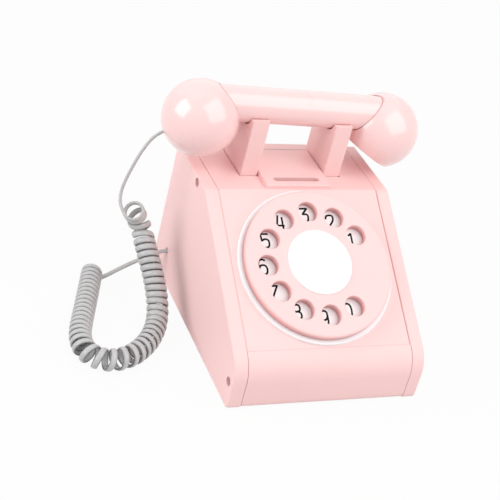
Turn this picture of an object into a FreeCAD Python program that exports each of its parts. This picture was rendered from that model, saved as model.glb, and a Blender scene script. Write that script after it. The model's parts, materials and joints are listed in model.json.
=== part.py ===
import FreeCAD, Part
import math
import os
import re

import Sketcher
from FreeCAD import Placement, Rotation, Vector

# Painted wooden toy telephone: a cabinet of boards with a turning dial, a ball-ended handset
# on two notched posts and a curly cord. Millimetres, X across, Y to the back, Z up,
# origin on the table under the middle of the cabinet.
SIZES = {
    # cabinet of boards
    "cabinet_width": 130.0,
    "cabinet_depth": 159.0,
    "cabinet_height": 93.3,
    "top_length": 57.3,
    "slope_angle": 31.8,
    "nose_length": 12.16,
    "nose_radius": 20.0,
    "nose_block_depth": 24.0,
    "side_thickness": 9.0,
    "board_thickness": 8.0,
    "base_recess": 1.5,
    "crease_radius": 9.0,
    "side_front_radius": 4.0,
    "side_back_radius": 2.2,
    "side_edge_radius": 1.5,
    "side_inner_radius": 0.8,
    "board_edge_radius": 0.8,
    "reveal_gap": 0.4,
    # slot plate on the top panel
    "plate_setback": 0.2,
    "plate_back_gap": 4.2,
    "slot_plate_thickness": 3.0,
    "slot_plate_corner": 2.0,
    "slot_length": 32.5,
    "slot_width": 4.3,
    "slot_end_share": 0.49,
    "slot_distance": 7.25,
    # cradle posts
    "post_thickness": 12.0,
    "post_depth": 32.8,
    "post_spacing": 59.0,
    "post_lip_drop": 4.25,
    "post_edge_radius": 1.0,
    "mortise_clearance": 0.6,
    "notch_clearance": 0.6,
    # dial
    "dial_distance": 53.9,
    "number_plate_radius": 52.4,
    "number_plate_thickness": 2.0,
    "bush_radius": 10.0,
    "bush_thickness": 0.5,
    "wheel_play": 0.1,
    "wheel_radius": 49.6,
    "wheel_thickness": 5.0,
    "wheel_edge_radius": 1.6,
    "finger_hole_radius": 6.75,
    "finger_ring_radius": 34.9,
    "finger_first_angle": 31.8,
    "finger_step_angle": 30.0,
    "finger_hole_count": 10,
    "finger_edge_radius": 0.7,
    "cap_radius": 21.7,
    "cap_thickness": 1.0,
    "cap_edge_radius": 0.4,
    "spindle_radius": 3.0,
    "spindle_clearance": 0.06,
    "spindle_head_radius": 6.0,
    "spindle_head_height": 2.2,
    "head_clearance": 0.4,
    "washer_radius": 8.0,
    "washer_thickness": 1.2,
    "nut_width": 10.0,
    "nut_thickness": 5.0,
    "spindle_tail": 2.0,
    # side screws
    "screw_head_radius": 2.9,
    "screw_head_height": 2.4,
    "screw_sink": 1.2,
    "screw_radius": 1.6,
    "screw_length": 22.0,
    "screw_clearance": 0.15,
    "top_screw_inset": 14.0,
    "nose_screw_inset": 7.0,
    "nose_screw_height": 17.0,
    # handset
    "bar_radius": 11.6,
    "bar_rise": 42.45,
    "bar_inset": 26.3,
    "handset_tilt": 2.35,
    "ball_radius": 24.9,
    "ball_spacing": 130.2,
    "ball_drop": 11.9,
    "bar_embed": 14.0,
    "glue_gap": 0.2,
    "flat_distance": 17.6,
    "flat_inward_angle": 29.0,
    "flat_forward_angle": 5.0,
    "flat_edge_radius": 2.5,
    "dowel_radius": 4.0,
    "dowel_length": 24.0,
    # cord
    "cord_diameter": 3.3,
    "cord_hole_clearance": 0.35,
    "cord_hole_depth": 14.0,
    "ferrule_length": 4.0,
    "ball_exit_down": 32.4,
    "ball_exit_back": 10.0,
    "cord_entry_inset": 21.0,
    "cord_entry_height": 21.6,
    "anchor_radius": 6.0,
    "anchor_thickness": 4.0,
    "coil_radius": 6.1,
    "coil_end_length": 3.3,
    "ball_lead": 3.3,
    "curl_lead": 9.9,
    "table_lead": 6.6,
    "entry_lead": 6.6,
    "bend_share": 0.45,
}

# Axis of the curly stretch, from the open ring that faces the front, down beside the cabinet
# to the table, round in a U and back along the table to its second end.
COIL_AXIS = [
    Vector(-97.2, 46.6, 60.1),
    Vector(-95.4, 50.0, 56.9),
    Vector(-93.3, 54.1, 53.0),
    Vector(-92.0, 49.0, 46.0),
    Vector(-90.0, 38.5, 41.0),
    Vector(-88.0, 27.0, 33.0),
    Vector(-86.2, 17.0, 24.5),
    Vector(-85.5, 8.0, 15.5),
    Vector(-87.5, -1.5, 9.5),
    Vector(-92.5, -11.5, 8.0),
    Vector(-101.0, -23.5, 8.0),
    Vector(-114.0, -34.5, 8.0),
    Vector(-130.0, -38.0, 8.0),
    Vector(-141.0, -29.0, 8.0),
    Vector(-141.5, -13.5, 8.0),
    Vector(-135.2, 4.0, 8.0),
    Vector(-127.4, 24.0, 8.0),
    Vector(-121.0, 41.0, 8.0),
    Vector(-115.7, 55.0, 8.0),
]
# Share of the axis's length where each stretch ends, with the curls in that stretch.
COIL_STRETCHES = [
    (0.02, 1.0),
    (0.08, 1.0),
    (0.28, 10.7),
    (0.38, 4.7),
    (0.50, 5.2),
    (0.66, 5.0),
    (1.0, 18.32),
]
COIL_STEPS = 24
# Free strands, between the ball and the first curl and between the last curl and the cabinet.
BALL_STRAND = [Vector(-96.5, 58.0, 101.0), Vector(-102.6, 57.5, 84.0)]
CABINET_STRAND = [Vector(-94.0, 56.0, 11.0), Vector(-81.0, 57.4, 16.6)]

# Lengths closer than this are taken as equal, in millimetres.
TOUCH = 1e-4
X_AXIS = Vector(1, 0, 0)
Y_AXIS = Vector(0, 1, 0)
Z_AXIS = Vector(0, 0, 1)

doc = FreeCAD.newDocument("toy_telephone")
sheet = doc.addObject("Spreadsheet::Sheet", "Sheet")
for row, (alias, value) in enumerate(SIZES.items(), 1):
    sheet.set("A%d" % row, alias)
    sheet.set("B%d" % row, str(value))
    sheet.setAlias("B%d" % row, alias)
doc.recompute()

# Places that several pieces share, as formulas of the sheet's sizes.
BACK_Y = "(cabinet_depth / 2)"
BACK_BOARD_Y = "(cabinet_depth / 2 - board_thickness)"
FRONT_Y = "(-cabinet_depth / 2)"
CREASE_Y = "(cabinet_depth / 2 - top_length)"
NOSE_Z = "(cabinet_height - (cabinet_depth - top_length) * tan(slope_angle))"
JOINT_Y = "(%s + nose_length * cos(slope_angle))" % FRONT_Y
JOINT_Z = "(%s + nose_length * sin(slope_angle))" % NOSE_Z
INNER_JOINT_Y = "(%s + board_thickness * sin(slope_angle))" % JOINT_Y
INNER_JOINT_Z = "(%s - board_thickness * cos(slope_angle))" % JOINT_Z
INNER_CREASE_Y = "(%s + board_thickness * tan(slope_angle / 2))" % CREASE_Y
TOP_UNDER_Z = "(cabinet_height - board_thickness)"
TOP_MIDDLE_Z = "(cabinet_height - board_thickness / 2)"
INNER_WIDTH = "(cabinet_width - 2 * side_thickness)"
SHOWN_WIDTH = "(cabinet_width - 2 * side_thickness - 2 * reveal_gap)"
POST_FRONT_Y = "(%s - post_depth)" % BACK_BOARD_Y
SLOT_PLATE_Y = "(%s + plate_setback)" % CREASE_Y
SLOT_PLATE_BACK_Y = "(%s - plate_back_gap)" % BACK_BOARD_Y
SLOT_Y = "(%s + slot_distance)" % SLOT_PLATE_Y
BAR_Y = "(cabinet_depth / 2 - bar_inset)"
BAR_Z = "(cabinet_height + bar_rise)"
DIAL_Y = "(%s - dial_distance * cos(slope_angle))" % CREASE_Y
DIAL_Z = "(cabinet_height - dial_distance * sin(slope_angle))"
WHEEL_Z = "(number_plate_thickness + bush_thickness + wheel_play)"
COUNTERBORE_DEPTH = "(spindle_head_height + head_clearance)"
NOSE_BACK_Y = "(nose_block_depth - cabinet_depth / 2)"
SCREW_PLACES = {
    "top_panel": ("(%s + top_screw_inset)" % CREASE_Y, TOP_MIDDLE_Z),
    "lower_front_block": ("(nose_screw_inset - cabinet_depth / 2)", "nose_screw_height"),
}
CORD_ENTRY = ("(%s - cord_entry_inset)" % BACK_Y, "cord_entry_height")

NODES = []


def formula(text):
    """Name the sheet before each of its sizes."""
    return re.sub(r"[a-z_]+", lambda m: "Sheet." + m[0] if m[0] in SIZES else m[0], text)


def number(text):
    return float(sheet.evalExpression(formula(text)))


def new_body(label):
    body = doc.addObject("PartDesign::Body", label)
    body.Label = label
    NODES.append(body)
    return body


def place(piece, x="0", y="0", z="0"):
    for axis, text in zip("xyz", (x, y, z)):
        piece.setExpression("Placement.Base." + axis, formula(text))


def place_on_slope(piece, height="0"):
    """Stand a piece on the front panel at the dial's centre, its own Z along the panel's normal."""
    piece.Placement = Placement(Vector(), Rotation(X_AXIS, 1))
    piece.setExpression("Placement.Rotation.Angle", formula("slope_angle"))
    y = "%s - %s * sin(slope_angle)" % (DIAL_Y, height)
    z = "%s + %s * cos(slope_angle)" % (DIAL_Z, height)
    place(piece, "0", y, z)


def new_sketch(body, role):
    sketch = body.newObject("Sketcher::SketchObject", body.Label + "_sketch")
    plane = next(feature for feature in body.Origin.OriginFeatures if feature.Role == role)
    sketch.AttachmentSupport = (plane, [""])
    sketch.MapMode = "FlatFace"
    return sketch


def hold_point(sketch, geometry, position, corner):
    """Tie a sketch point to two formulas measured from the sketch's origin."""
    for kind, text in zip(("DistanceX", "DistanceY"), corner):
        held = Sketcher.Constraint(kind, -1, 1, geometry, position, number(text))
        index = sketch.addConstraint(held)
        sketch.setExpression("Constraints[%d]" % index, formula(text))


def outline(body, role, corners):
    """Closed outline of straight lines through corners given as formulas."""
    sketch = new_sketch(body, role)
    points = [Vector(number(x), number(y), 0) for x, y in corners]
    for index, point in enumerate(points):
        sketch.addGeometry(Part.LineSegment(point, points[(index + 1) % len(points)]), False)
    for index in range(len(points)):
        after = (index + 1) % len(points)
        sketch.addConstraint(Sketcher.Constraint("Coincident", index, 2, after, 1))
    for index, corner in enumerate(corners):
        hold_point(sketch, index, 1, corner)
    return sketch


def circles(body, role, rounds):
    """Circles given as (x, y, radius) formulas."""
    sketch = new_sketch(body, role)
    for index, (x, y, radius) in enumerate(rounds):
        centre = Vector(number(x), number(y), 0)
        sketch.addGeometry(Part.Circle(centre, Z_AXIS, number(radius)), False)
        if (x, y) == ("0", "0"):
            sketch.addConstraint(Sketcher.Constraint("Coincident", index, 3, -1, 1))
        else:
            hold_point(sketch, index, 3, (x, y))
        held = sketch.addConstraint(Sketcher.Constraint("Radius", index, number(radius)))
        sketch.setExpression("Constraints[%d]" % held, formula(radius))
    return sketch


def pad(body, sketch, length, backwards=False):
    feature = body.newObject("PartDesign::Pad", body.Label + "_pad")
    feature.Profile = sketch
    feature.setExpression("Length", formula(length))
    feature.Reversed = backwards
    doc.recompute()


def pocket(body, sketch, depth, backwards=False):
    """Cut a sketch into the body, and see that it takes something away."""
    before = body.Shape.Volume
    feature = body.newObject("PartDesign::Pocket", body.Label + "_pocket")
    feature.Profile = sketch
    feature.setExpression("Length", formula(depth))
    feature.Reversed = backwards
    doc.recompute()
    if body.Shape.Volume >= before - TOUCH:
        raise RuntimeError("a pocket of %s cuts nothing" % body.Label)
    return feature


def round_edges(body, radius, wanted):
    """Round the edges of the body's last feature that the test picks."""
    last = body.Tip
    names = ["Edge%d" % (index + 1) for index, edge in enumerate(last.Shape.Edges) if wanted(edge)]
    if not names:
        raise RuntimeError("no edge to round on " + body.Label)
    feature = body.newObject("PartDesign::Fillet", body.Label + "_fillet")
    feature.Base = (last, names)
    feature.setExpression("Radius", formula(radius))
    doc.recompute()


def same(first, second):
    return abs(first - second) < TOUCH


def along(edge, direction):
    """True for a straight edge that runs in the given direction."""
    return isinstance(edge.Curve, Part.Line) and same(abs(edge.Curve.Direction.dot(direction)), 1)


def at(edge, axis, place_mm):
    """True for an edge whose ends both lie at one place along an axis."""
    return all(same(getattr(vertex.Point, axis), place_mm) for vertex in edge.Vertexes)


def corner_edge(y, z):
    """Test for the edge along X through one corner of a YZ outline."""
    return lambda edge: along(edge, X_AXIS) and at(edge, "y", number(y)) and at(edge, "z", number(z))


def side_panel(label, side):
    """Side board: the cabinet's whole outline, rounded over, drilled for its screws."""
    body = new_body(label)
    profile = outline(body, "YZ_Plane", [
        (BACK_Y, "0"), (BACK_Y, "cabinet_height"), (CREASE_Y, "cabinet_height"),
        (FRONT_Y, NOSE_Z), (FRONT_Y, "0"),
    ])
    on_left = side < 0
    pad(body, profile, "side_thickness", backwards=not on_left)
    round_edges(body, "nose_radius", corner_edge(FRONT_Y, NOSE_Z))
    round_edges(body, "crease_radius", corner_edge(CREASE_Y, "cabinet_height"))
    round_edges(body, "side_front_radius", corner_edge(FRONT_Y, "0"))
    low, high = corner_edge(BACK_Y, "0"), corner_edge(BACK_Y, "cabinet_height")
    round_edges(body, "side_back_radius", lambda edge: low(edge) or high(edge))
    inner = -side * number("side_thickness")
    round_edges(body, "side_edge_radius", lambda edge: at(edge, "x", 0.0))
    round_edges(body, "side_inner_radius", lambda edge: at(edge, "x", inner))
    heads = [spot + ("screw_head_radius + screw_clearance",) for spot in SCREW_PLACES.values()]
    pocket(body, circles(body, "YZ_Plane", heads), "screw_sink + screw_head_height", backwards=on_left)
    holes = [spot + ("screw_radius + screw_clearance",) for spot in SCREW_PLACES.values()]
    if on_left:
        holes.append(CORD_ENTRY + ("cord_diameter / 2 + cord_hole_clearance",))
    pocket(body, circles(body, "YZ_Plane", holes), "side_thickness", backwards=on_left)
    place(body, "%d * cabinet_width / 2" % side)


def board(label, corners, width):
    """Board between the side panels, with a YZ outline."""
    body = new_body(label)
    pad(body, outline(body, "YZ_Plane", corners), width)
    place(body, "-%s / 2" % width)
    return body


def pilot_holes(body):
    """Holes for the screws that come through both side panels."""
    depth = "(screw_sink + screw_length - side_thickness - reveal_gap + screw_clearance)"
    spot = [SCREW_PLACES[body.Label] + ("screw_radius + screw_clearance",)]
    pocket(body, circles(body, "YZ_Plane", spot), depth, backwards=True)
    far = circles(body, "YZ_Plane", spot)
    far.setExpression("AttachmentOffset.Base.z", formula(SHOWN_WIDTH))
    pocket(body, far, depth)


def front_panel():
    """Sloping board with the hole for the dial's spindle."""
    front = board("front_panel", [
        (CREASE_Y, "cabinet_height"), (JOINT_Y, JOINT_Z), (INNER_JOINT_Y, INNER_JOINT_Z),
        (INNER_CREASE_Y, TOP_UNDER_Z),
    ], SHOWN_WIDTH)
    slope = Rotation(X_AXIS, number("slope_angle")).multVec(Y_AXIS * -1)
    corner = Vector(0, number(CREASE_Y), number("cabinet_height"))
    outer_face = Part.Plane(corner, slope.cross(X_AXIS)).toShape()
    round_edges(front, "board_edge_radius",
                lambda edge: along(edge, slope) and same(outer_face.distToShape(edge)[0], 0))
    hole = circles(front, "XY_Plane", [("0", "0", "spindle_radius + spindle_clearance")])
    hole.AttachmentOffset = Placement(Vector(), Rotation(X_AXIS, 1))
    hole.setExpression("AttachmentOffset.Rotation.Angle", formula("slope_angle"))
    for axis, text in zip("xyz", (SHOWN_WIDTH + " / 2", DIAL_Y, DIAL_Z)):
        hole.setExpression("AttachmentOffset.Base." + axis, formula(text))
    pocket(front, hole, "board_thickness")


def top_panel():
    """Level board with a mortise for each post, open to the back, and the slot."""
    top = board("top_panel", [
        (CREASE_Y, "cabinet_height"), (INNER_CREASE_Y, TOP_UNDER_Z), (BACK_BOARD_Y, TOP_UNDER_Z),
        (BACK_BOARD_Y, "cabinet_height"),
    ], SHOWN_WIDTH)
    pilot_holes(top)
    mouth = "(%s - mortise_clearance)" % POST_FRONT_Y
    for side in (-1, 1):
        middle = "(%s / 2 + %d * post_spacing / 2)" % (SHOWN_WIDTH, side)
        low, high = ("(%s %s (post_thickness / 2 + mortise_clearance))" % (middle, sign) for sign in "-+")
        corners = [(low, mouth), (high, mouth), (high, BACK_BOARD_Y), (low, BACK_BOARD_Y)]
        pocket(top, outline(top, "XY_Plane", corners), "cabinet_height", backwards=True)
    pocket(top, slot_outline(top, SHOWN_WIDTH + " / 2"), "cabinet_height", backwards=True)


def cabinet():
    side_panel("left_side_panel", -1)
    side_panel("right_side_panel", 1)
    front_panel()
    nose = board("lower_front_block", [
        (JOINT_Y, JOINT_Z), (FRONT_Y, NOSE_Z), (FRONT_Y, "0"), (NOSE_BACK_Y, "0"),
        (NOSE_BACK_Y, INNER_JOINT_Z), (INNER_JOINT_Y, INNER_JOINT_Z),
    ], SHOWN_WIDTH)
    round_edges(nose, "nose_radius", corner_edge(FRONT_Y, NOSE_Z))
    pilot_holes(nose)
    top_panel()
    board("back_panel", [
        (BACK_BOARD_Y, "base_recess"), (BACK_Y, "base_recess"), (BACK_Y, "cabinet_height"),
        (BACK_BOARD_Y, "cabinet_height"),
    ], INNER_WIDTH)
    base_top = "(base_recess + board_thickness)"
    board("base_board", [
        (NOSE_BACK_Y, "base_recess"), (BACK_BOARD_Y, "base_recess"), (BACK_BOARD_Y, base_top),
        (NOSE_BACK_Y, base_top),
    ], INNER_WIDTH)


def slot_outline(body, middle):
    """Long straight slot, the same through the plate and the panel under it."""
    low, high = ("(%s %s slot_length / 2)" % (middle, sign) for sign in "-+")
    front, back = ("(%s %s slot_width / 2)" % (SLOT_Y, sign) for sign in "-+")
    return outline(body, "XY_Plane", [(low, front), (high, front), (high, back), (low, back)])


def slot_plate():
    """Thin plate between the posts, its two front corners rounded, with the slot."""
    body = new_body("slot_plate")
    half = "(post_spacing / 2 - post_thickness / 2 - mortise_clearance)"
    pad(body, outline(body, "XY_Plane", [
        ("-" + half, SLOT_PLATE_Y), (half, SLOT_PLATE_Y), (half, SLOT_PLATE_BACK_Y),
        ("-" + half, SLOT_PLATE_BACK_Y),
    ]), "slot_plate_thickness")
    front, top = number(SLOT_PLATE_Y), number("slot_plate_thickness")
    round_edges(body, "slot_plate_corner", lambda edge: along(edge, Z_AXIS) and at(edge, "y", front))
    round_edges(body, "board_edge_radius", lambda edge: at(edge, "z", top))
    pocket(body, slot_outline(body, "0"), "slot_plate_thickness", backwards=True)
    slot_sides = [number("%s %s slot_width / 2" % (SLOT_Y, sign)) for sign in "-+"]
    round_edges(body, "slot_width * slot_end_share",
                lambda edge: along(edge, Z_AXIS) and any(at(edge, "y", y) for y in slot_sides))
    place(body, "0", "0", "cabinet_height")


def cradle_post(label, side):
    """Upright board let into the top panel, with a round notch for the handset's leaning bar."""
    body = new_body(label)
    notch_z = "(%s - %d * post_spacing / 2 * tan(handset_tilt))" % (BAR_Z, side)
    lip = "(%s - post_lip_drop)" % notch_z
    pad(body, outline(body, "YZ_Plane", [
        (POST_FRONT_Y, TOP_UNDER_Z), (BACK_BOARD_Y, TOP_UNDER_Z), (BACK_BOARD_Y, lip), (POST_FRONT_Y, lip),
    ]), "post_thickness")
    notch = circles(body, "YZ_Plane", [(BAR_Y, notch_z, "bar_radius + notch_clearance")])
    pocket(body, notch, "post_thickness", backwards=True)
    round_edges(body, "post_edge_radius", lambda edge: along(edge, Z_AXIS))
    place(body, "%d * post_spacing / 2 - post_thickness / 2" % side)


def disc(label, radius, thickness, bore):
    body = new_body(label)
    rounds = [("0", "0", radius)]
    if bore:
        rounds.append(("0", "0", bore))
    pad(body, circles(body, "XY_Plane", rounds), thickness)
    return body


def rim(height, radius):
    """Test for a full circle of the given radius at the given height."""
    around = 2 * math.pi * number(radius)
    return lambda edge: at(edge, "z", number(height)) and abs(edge.Length - around) < TOUCH * around


def dial():
    """Number plate, bush and spindle on the panel; finger wheel and its cap turn on the spindle."""
    bore = "spindle_radius + spindle_clearance"
    plate = disc("number_plate", "number_plate_radius", "number_plate_thickness", bore)
    round_edges(plate, "board_edge_radius", rim("number_plate_thickness", "number_plate_radius"))
    place_on_slope(plate)

    bush = disc("dial_bush", "bush_radius", "bush_thickness", bore)
    place_on_slope(bush, "number_plate_thickness")

    wheel = disc("finger_wheel", "wheel_radius", "wheel_thickness", bore)
    round_edges(wheel, "wheel_edge_radius", rim("wheel_thickness", "wheel_radius"))
    recess = circles(wheel, "XY_Plane", [("0", "0", "spindle_head_radius + head_clearance")])
    recess.setExpression("AttachmentOffset.Base.z", formula("wheel_thickness"))
    pocket(wheel, recess, COUNTERBORE_DEPTH)
    first = ["finger_ring_radius * %s(finger_first_angle)" % wave for wave in ("cos", "sin")]
    finger = circles(wheel, "XY_Plane", [first + ["finger_hole_radius"]])
    hole = pocket(wheel, finger, "wheel_thickness", backwards=True)
    ring = wheel.newObject("PartDesign::PolarPattern", "finger_holes")
    ring.Originals = [hole]
    ring.Axis = (next(f for f in wheel.Origin.OriginFeatures if f.Role == "Z_Axis"), [""])
    ring.setExpression("Occurrences", formula("finger_hole_count"))
    ring.setExpression("Angle", formula("finger_step_angle * (finger_hole_count - 1)"))
    wheel.Tip = ring
    doc.recompute()
    round_edges(wheel, "finger_edge_radius", rim("wheel_thickness", "finger_hole_radius"))
    place_on_slope(wheel, WHEEL_Z)

    cap = disc("dial_centre_cap", "cap_radius", "cap_thickness", None)
    round_edges(cap, "cap_edge_radius", rim("cap_thickness", "cap_radius"))
    place_on_slope(cap, "(%s + wheel_thickness)" % WHEEL_Z)

    washer = disc("spindle_washer", "washer_radius", "washer_thickness", bore)
    place_on_slope(washer, "(-board_thickness - washer_thickness)")
    spindle_nut(bore)
    spindle()


def spindle_nut(bore):
    """Hexagon nut behind the panel."""
    body = new_body("spindle_nut")
    reach = "nut_width / 2 / cos(30)"
    corners = [tuple("%s * %s(%d)" % (reach, wave, angle) for wave in ("cos", "sin"))
               for angle in range(0, 360, 60)]
    pad(body, outline(body, "XY_Plane", corners), "nut_thickness")
    pocket(body, circles(body, "XY_Plane", [("0", "0", bore)]), "nut_thickness", backwards=True)
    place_on_slope(body, "(-board_thickness - washer_thickness - nut_thickness)")


def spindle():
    """Headed pin that the dial turns on, through the panel into the nut."""
    body = new_body("dial_spindle")
    foot = "(-board_thickness - washer_thickness - nut_thickness - spindle_tail)"
    neck = "(%s + wheel_thickness - spindle_head_height - head_clearance / 2)" % WHEEL_Z
    head = "(%s + spindle_head_height)" % neck
    profile = outline(body, "XZ_Plane", [
        ("0", foot), ("spindle_radius", foot), ("spindle_radius", neck), ("spindle_head_radius", neck),
        ("spindle_head_radius", head), ("0", head),
    ])
    turned = body.newObject("PartDesign::Revolution", "dial_spindle_turned")
    turned.Profile = profile
    turned.ReferenceAxis = (profile, ["V_Axis"])
    turned.Angle = 360
    doc.recompute()
    place_on_slope(body)


def add_shape(label, shape, placement=Placement()):
    """Node whose shape is worked out from the sheet's sizes."""
    piece = doc.addObject("Part::Feature", label)
    piece.Label = label
    piece.Shape = shape
    piece.Placement = placement
    NODES.append(piece)


def side_screws():
    """Countersunk screws through both side panels, sunk under the paint."""
    head, shank = number("screw_head_radius"), number("screw_radius")
    start = number("cabinet_width") / 2 - number("screw_sink")
    screws = []
    for side in (-1, 1):
        for y, z in SCREW_PLACES.values():
            seat, inward = Vector(side * start, number(y), number(z)), X_AXIS * -side
            cone = Part.makeCone(head, shank, number("screw_head_height"), seat, inward)
            rod = Part.makeCylinder(shank, number("screw_length"), seat, inward)
            screws.append(cone.fuse(rod).removeSplitter())
    add_shape("side_screws", Part.makeCompound(screws))


def handset_place():
    """Lean of the whole handset about the point midway between its balls, the right one low."""
    middle = Vector(0, number(BAR_Y), number(BAR_Z) - number("ball_drop"))
    return Placement(Vector(), Rotation(Y_AXIS, number("handset_tilt")), middle)


def ball_centre(side):
    """Centre of a ball before the handset leans."""
    height = number(BAR_Z) - number("ball_drop")
    return Vector(side * number("ball_spacing") / 2, number(BAR_Y), height)


def ball_exit():
    """Way out of the left ball for the cord, before the handset leans: outwards, down and back."""
    down, back = math.radians(number("ball_exit_down")), math.radians(number("ball_exit_back"))
    return Vector(-math.cos(down) * math.cos(back), math.sin(back), -math.sin(down) * math.cos(back))


def bar_half():
    """Half the bar's length: to the ball's surface on the bar's axis, and on into the ball."""
    reach = math.sqrt(number("ball_radius") ** 2 - number("ball_drop") ** 2)
    return number("ball_spacing") / 2 - reach + number("bar_embed")


def cord_hole_bottom():
    return ball_centre(-1) + ball_exit() * (number("ball_radius") - number("cord_hole_depth"))


def flat_cutter(side):
    """Block under a ball whose upper face is the flat towards the user's ear or mouth."""
    reach = 2 * number("ball_radius")
    block = Part.makeBox(2 * reach, 2 * reach, reach, Vector(-reach, -reach, -reach))
    block.translate(Z_AXIS * -number("flat_distance"))
    turn = Rotation(Y_AXIS, side * number("flat_inward_angle"))
    turn = turn.multiply(Rotation(X_AXIS, -number("flat_forward_angle")))
    block.Placement = Placement(ball_centre(side), turn).multiply(block.Placement)
    return block


def handset_ball(label, side):
    """Turned ball with a flat, bored for the bar and its dowel, and on the left for the cord."""
    centre, radius = ball_centre(side), number("ball_radius")
    ball = Part.makeSphere(radius, centre).cut(flat_cutter(side))
    rims = [edge for edge in ball.Edges
            if not edge.Degenerated and isinstance(edge.Curve, Part.Circle)
            and same(edge.Curve.Center.distanceToPoint(centre), number("flat_distance"))]
    ball = ball.makeFillet(number("flat_edge_radius"), rims)
    gap, inward = number("glue_gap"), X_AXIS * -side
    bar_end = Vector(side * bar_half(), number(BAR_Y), number(BAR_Z))
    ball = ball.cut(Part.makeCylinder(number("bar_radius") + gap, 2 * radius, bar_end, inward))
    pin = number("dowel_length") / 2 + gap
    ball = ball.cut(Part.makeCylinder(number("dowel_radius") + gap, pin, bar_end, -inward))
    if side < 0:
        hole = number("cord_diameter") / 2 + number("cord_hole_clearance")
        through = 2 * number("cord_hole_depth")
        ball = ball.cut(Part.makeCylinder(hole, through, cord_hole_bottom(), ball_exit()))
    add_shape(label, ball, handset_place())


def handset():
    """Two balls on a bar with a dowel in each joint, and the cord's ferrule in the left ball."""
    half, axis = bar_half(), Vector(0, number(BAR_Y), number(BAR_Z))
    bar = Part.makeCylinder(number("bar_radius"), 2 * half, axis - X_AXIS * half, X_AXIS)
    radius, length, gap = number("dowel_radius"), number("dowel_length"), number("glue_gap")
    pins = []
    for side, label in ((-1, "left_ball"), (1, "right_ball")):
        handset_ball(label, side)
        end = axis + X_AXIS * (side * half)
        pins.append(Part.makeCylinder(radius, length, end - X_AXIS * (length / 2), X_AXIS))
        start = end - X_AXIS * (side * (length / 2 + gap))
        bar = bar.cut(Part.makeCylinder(radius + gap, length, start, X_AXIS * side))
    add_shape("handset_bar", bar, handset_place())
    add_shape("handset_dowels", Part.makeCompound(pins), handset_place())
    radius = number("cord_diameter") / 2 + number("cord_hole_clearance")
    ferrule = Part.makeCylinder(radius, number("ferrule_length"), cord_hole_bottom(), ball_exit())
    add_shape("handset_cord_ferrule", ferrule, handset_place())


def cabinet_cord_anchor():
    """Round block glued inside the left panel, over the cord's hole."""
    seat = Vector(-number(INNER_WIDTH) / 2, number(CORD_ENTRY[0]), number(CORD_ENTRY[1]))
    block = Part.makeCylinder(number("anchor_radius"), number("anchor_thickness"), seat, X_AXIS)
    add_shape("cabinet_cord_anchor", block)


def coil_spline():
    """Smooth axis of the curls: a quadratic spline with the axis points as its poles."""
    inner = len(COIL_AXIS) - 3
    knots = list(range(inner + 2))
    spline = Part.BSplineCurve()
    spline.buildFromPolesMultsKnots(COIL_AXIS, [3] + [1] * inner + [3], knots, False, 2)
    return spline


def coil_share(turn):
    """Share of the axis's length that the given number of curls reaches."""
    start, done = 0.0, 0.0
    for end, curls in COIL_STRETCHES:
        if turn <= done + curls:
            return start + (end - start) * (turn - done) / curls
        start, done = end, done + curls
    return 1.0


def helix():
    """Points of the curls, left-handed, from the left of the first."""
    spline = coil_spline()
    length = spline.length()
    turns = sum(curls for _, curls in COIL_STRETCHES)
    out = X_AXIS * -1
    points = []
    for index in range(int(round(turns * COIL_STEPS)) + 1):
        turn = index / COIL_STEPS
        parameter = spline.parameterAtDistance(coil_share(turn) * length, spline.FirstParameter)
        centre = spline.value(parameter)
        ahead = spline.tangent(parameter)[0].normalize()
        out = (out - ahead * out.dot(ahead)).normalize()
        angle = 2 * math.pi * turn
        arm = out * math.cos(angle) + out.cross(ahead) * math.sin(angle)
        points.append(centre + arm * number("coil_radius"))
    return points


def tangents(points):
    """Unit direction at each point, from its neighbours."""
    ways = []
    for index in range(len(points)):
        before, after = points[max(index - 1, 0)], points[min(index + 1, len(points) - 1)]
        ways.append((after - before).normalize())
    return ways


def biarc(start, way, end, end_way):
    """Two arcs that leave along one direction and arrive along another."""
    across = end - start
    bend = 2 * (1 - way.dot(end_way))
    lean = across.dot(way + end_way)
    reach = (-lean + math.sqrt(lean ** 2 + bend * across.dot(across))) / bend
    first, second = start + way * reach, end - end_way * reach
    middle = (first + second) * 0.5
    return [arc(start, first, middle), arc(middle, second, end)]


def arc(start, apex, end):
    """Arc from start to end whose end tangents meet at apex."""
    chord = (end - start) * 0.5
    rise = apex - start - chord
    half_turn = math.atan2(rise.Length, chord.Length)
    top = start + chord + rise.normalize() * (chord.Length * math.tan(half_turn / 2))
    return Part.Arc(start, top, end).toShape()


def tube(edges, start, way):
    """Round tube of the cord's diameter along a path of lines and arcs."""
    ring = Part.Wire(Part.makeCircle(number("cord_diameter") / 2, start, way))
    path = Part.Wire(edges)
    solid = path.makePipeShell([ring], True, False)
    section = math.pi * number("cord_diameter") ** 2 / 4
    share = solid.Volume / (section * path.Length)
    print("  cord length %.1f mm, volume share %.4f" % (path.Length, share))
    return solid


def strand(label, points):
    """Free stretch of cord: straight runs joined by tangent arcs."""
    edges, radii, last = [], [], points[0]
    for before, corner, after in zip(points, points[1:], points[2:]):
        come, leave = corner - before, after - corner
        turn = come.getAngle(leave)
        cut = number("bend_share") * min(come.Length, leave.Length)
        radii.append(cut / math.tan(turn / 2))
        start = corner - come.normalize() * cut
        end = corner + leave.normalize() * cut
        edges += [Part.LineSegment(last, start).toShape(), arc(start, corner, end)]
        last = end
    edges.append(Part.LineSegment(last, points[-1]).toShape())
    print(label, "radii", ["%.1f" % radius for radius in radii])
    add_shape(label, tube(edges, points[0], (points[1] - points[0]).normalize()))


def least_gap(points):
    """Least distance between the curls' surfaces, over points at least half a turn apart."""
    count, nearby = len(points), 4 * COIL_STEPS
    nearest = min(points[i].distanceToPoint(points[j]) for i in range(count)
                  for j in range(i + COIL_STEPS // 2, min(i + nearby, count)))
    return nearest - number("cord_diameter")


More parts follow.
